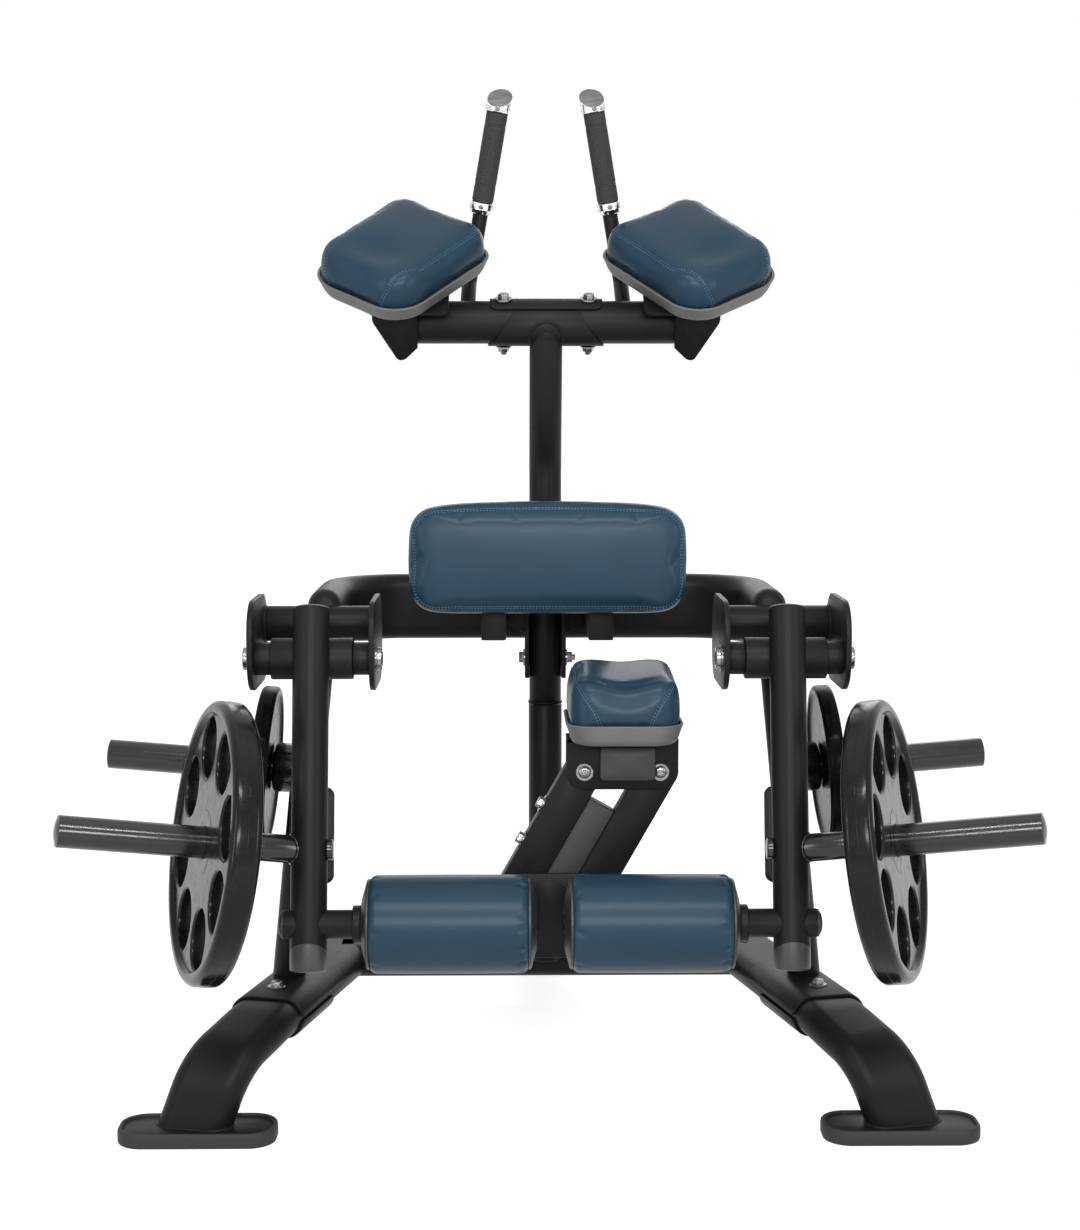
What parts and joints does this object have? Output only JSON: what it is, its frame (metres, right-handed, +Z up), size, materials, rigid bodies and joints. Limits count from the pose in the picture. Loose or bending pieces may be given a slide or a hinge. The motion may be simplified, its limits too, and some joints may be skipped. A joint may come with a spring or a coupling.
{
  "type": "kneeling hamstring machine",
  "caption": "Plate loaded kneeling hamstring machine: tripod steel frame, swinging roller levers, pads for thigh, knee and elbows, weight plates on horns.",
  "frame": {"origin": "middle of the machine's bounding box on the floor, with the levers and the knee pad at rest as in the picture", "axes": "+Z up, +Y the way the kneeling user faces, +X to the user's right; the picture looks along +Y"},
  "size_m": [1.5394, 1.4126, 1.7444],
  "materials": {
    "satin_black_steel": "satin powder coat",
    "gloss_black_iron": "glossy black coating",
    "grey_plastic": "fine moulded grain",
    "dark_rubber": "matt",
    "blue_vinyl": "satin vinyl upholstery",
    "bright_chrome": "polished",
    "bright_zinc": "zinc plated"
  },
  "bodies": {
    "frame": {"crossbar": "satin_black_steel", "crossbeam": "satin_black_steel", "elbow_cushion_left": "blue_vinyl", "elbow_cushion_right": "blue_vinyl", "elbow_tray_left": "grey_plastic", "elbow_tray_right": "grey_plastic", "foot_pad_front": "dark_rubber", "foot_pad_left": "dark_rubber", "foot_pad_right": "dark_rubber", "front_leg": "satin_black_steel", "handle_grip_left": "dark_rubber", "handle_grip_right": "dark_rubber", "handle_left": "bright_chrome", "handle_right": "bright_chrome", "hoop": "satin_black_steel", "hoop_clamp": "satin_black_steel", "leg_left": "satin_black_steel", "leg_right": "satin_black_steel", "linkage_base": "satin_black_steel", "pivot_bracket_left": "satin_black_steel", "pivot_bracket_right": "satin_black_steel", "pivot_shaft_left": "bright_zinc", "pivot_shaft_right": "bright_zinc", "post_lower": "satin_black_steel", "post_upper": "satin_black_steel", "saddle_cap": "satin_black_steel", "side_beam_left": "satin_black_steel", "side_beam_right": "satin_black_steel", "spine": "satin_black_steel", "stop_bumper_left": "dark_rubber", "stop_bumper_right": "dark_rubber", "storage_horn_left": "satin_black_steel", "storage_horn_right": "satin_black_steel", "thigh_cushion": "blue_vinyl", "thigh_frame": "satin_black_steel", "upright_left": "satin_black_steel", "upright_right": "satin_black_steel"},
    "lever_left": {"lever_left": "satin_black_steel", "lever_cap_left": "grey_plastic", "lever_horn_left": "satin_black_steel", "roller_axle_left": "satin_black_steel"},
    "roller_left": {"roller_core_left": "grey_plastic", "roller_cushion_left": "blue_vinyl"},
    "weight_plate_left": {"weight_plate_left": "gloss_black_iron"},
    "storage_plate_left": {"storage_plate_left": "gloss_black_iron"},
    "lever_right": {"lever_right": "satin_black_steel", "lever_cap_right": "grey_plastic", "lever_horn_right": "satin_black_steel", "roller_axle_right": "satin_black_steel"},
    "roller_right": {"roller_core_right": "grey_plastic", "roller_cushion_right": "blue_vinyl"},
    "weight_plate_right": {"weight_plate_right": "gloss_black_iron"},
    "storage_plate_right": {"storage_plate_right": "gloss_black_iron"},
    "link_left": {"link_left": "satin_black_steel", "stop_block": "dark_rubber"},
    "link_right": {"link_right": "satin_black_steel"},
    "carriage": {"carriage": "satin_black_steel", "knee_tray": "grey_plastic", "knee_cushion": "blue_vinyl"}
  },
  "joints": [
    {"name": "lever_swing_left", "type": "hinge", "parent": "frame", "child": "lever_left", "pos_m": [-0.386, -0.33367, 0.777], "axis": [-1, 0, 0], "range_deg": [0, 115]},
    {"name": "roller_turn_left", "type": "hinge", "parent": "lever_left", "child": "roller_left", "pos_m": [-0.1645, -0.46795, 0.3665], "axis": [1, 0, 0], "continuous": true},
    {"name": "weight_plate_slide_left", "type": "slide", "parent": "lever_left", "child": "weight_plate_left", "axis": [-0.9332, -0.327, 0.1489], "range_m": [0, 0.2]},
    {"name": "storage_plate_slide_left", "type": "slide", "parent": "frame", "child": "storage_plate_left", "axis": [-0.9966, 0, 0.0818], "range_m": [0, 0.22]},
    {"name": "lever_swing_right", "type": "hinge", "parent": "frame", "child": "lever_right", "pos_m": [0.386, -0.33367, 0.777], "axis": [-1, 0, 0], "range_deg": [0, 115]},
    {"name": "roller_turn_right", "type": "hinge", "parent": "lever_right", "child": "roller_right", "pos_m": [0.1645, -0.46795, 0.3665], "axis": [1, 0, 0], "continuous": true},
    {"name": "weight_plate_slide_right", "type": "slide", "parent": "lever_right", "child": "weight_plate_right", "axis": [0.9332, -0.327, 0.1489], "range_m": [0, 0.2]},
    {"name": "storage_plate_slide_right", "type": "slide", "parent": "frame", "child": "storage_plate_right", "axis": [0.9966, 0, 0.0818], "range_m": [0, 0.22]},
    {"name": "link_left_swing", "type": "hinge", "parent": "frame", "child": "link_left", "pos_m": [-0.0664, -0.29367, 0.365], "axis": [0, -1, 0], "range_deg": [0, 59]},
    {"name": "link_right_swing", "type": "hinge", "parent": "frame", "child": "link_right", "pos_m": [0.059, -0.29367, 0.365], "axis": [0, -1, 0], "range_deg": [0, 59]},
    {"name": "carriage_level", "type": "hinge", "parent": "link_left", "child": "carriage", "pos_m": [0.059, -0.29367, 0.586], "axis": [0, -1, 0], "range_deg": [-59, 0]}
  ],
  "couplings": [
    {"joint": "link_right_swing", "follows": "link_left_swing", "ratio": 1},
    {"joint": "carriage_level", "follows": "link_left_swing", "ratio": -1}
  ]
}
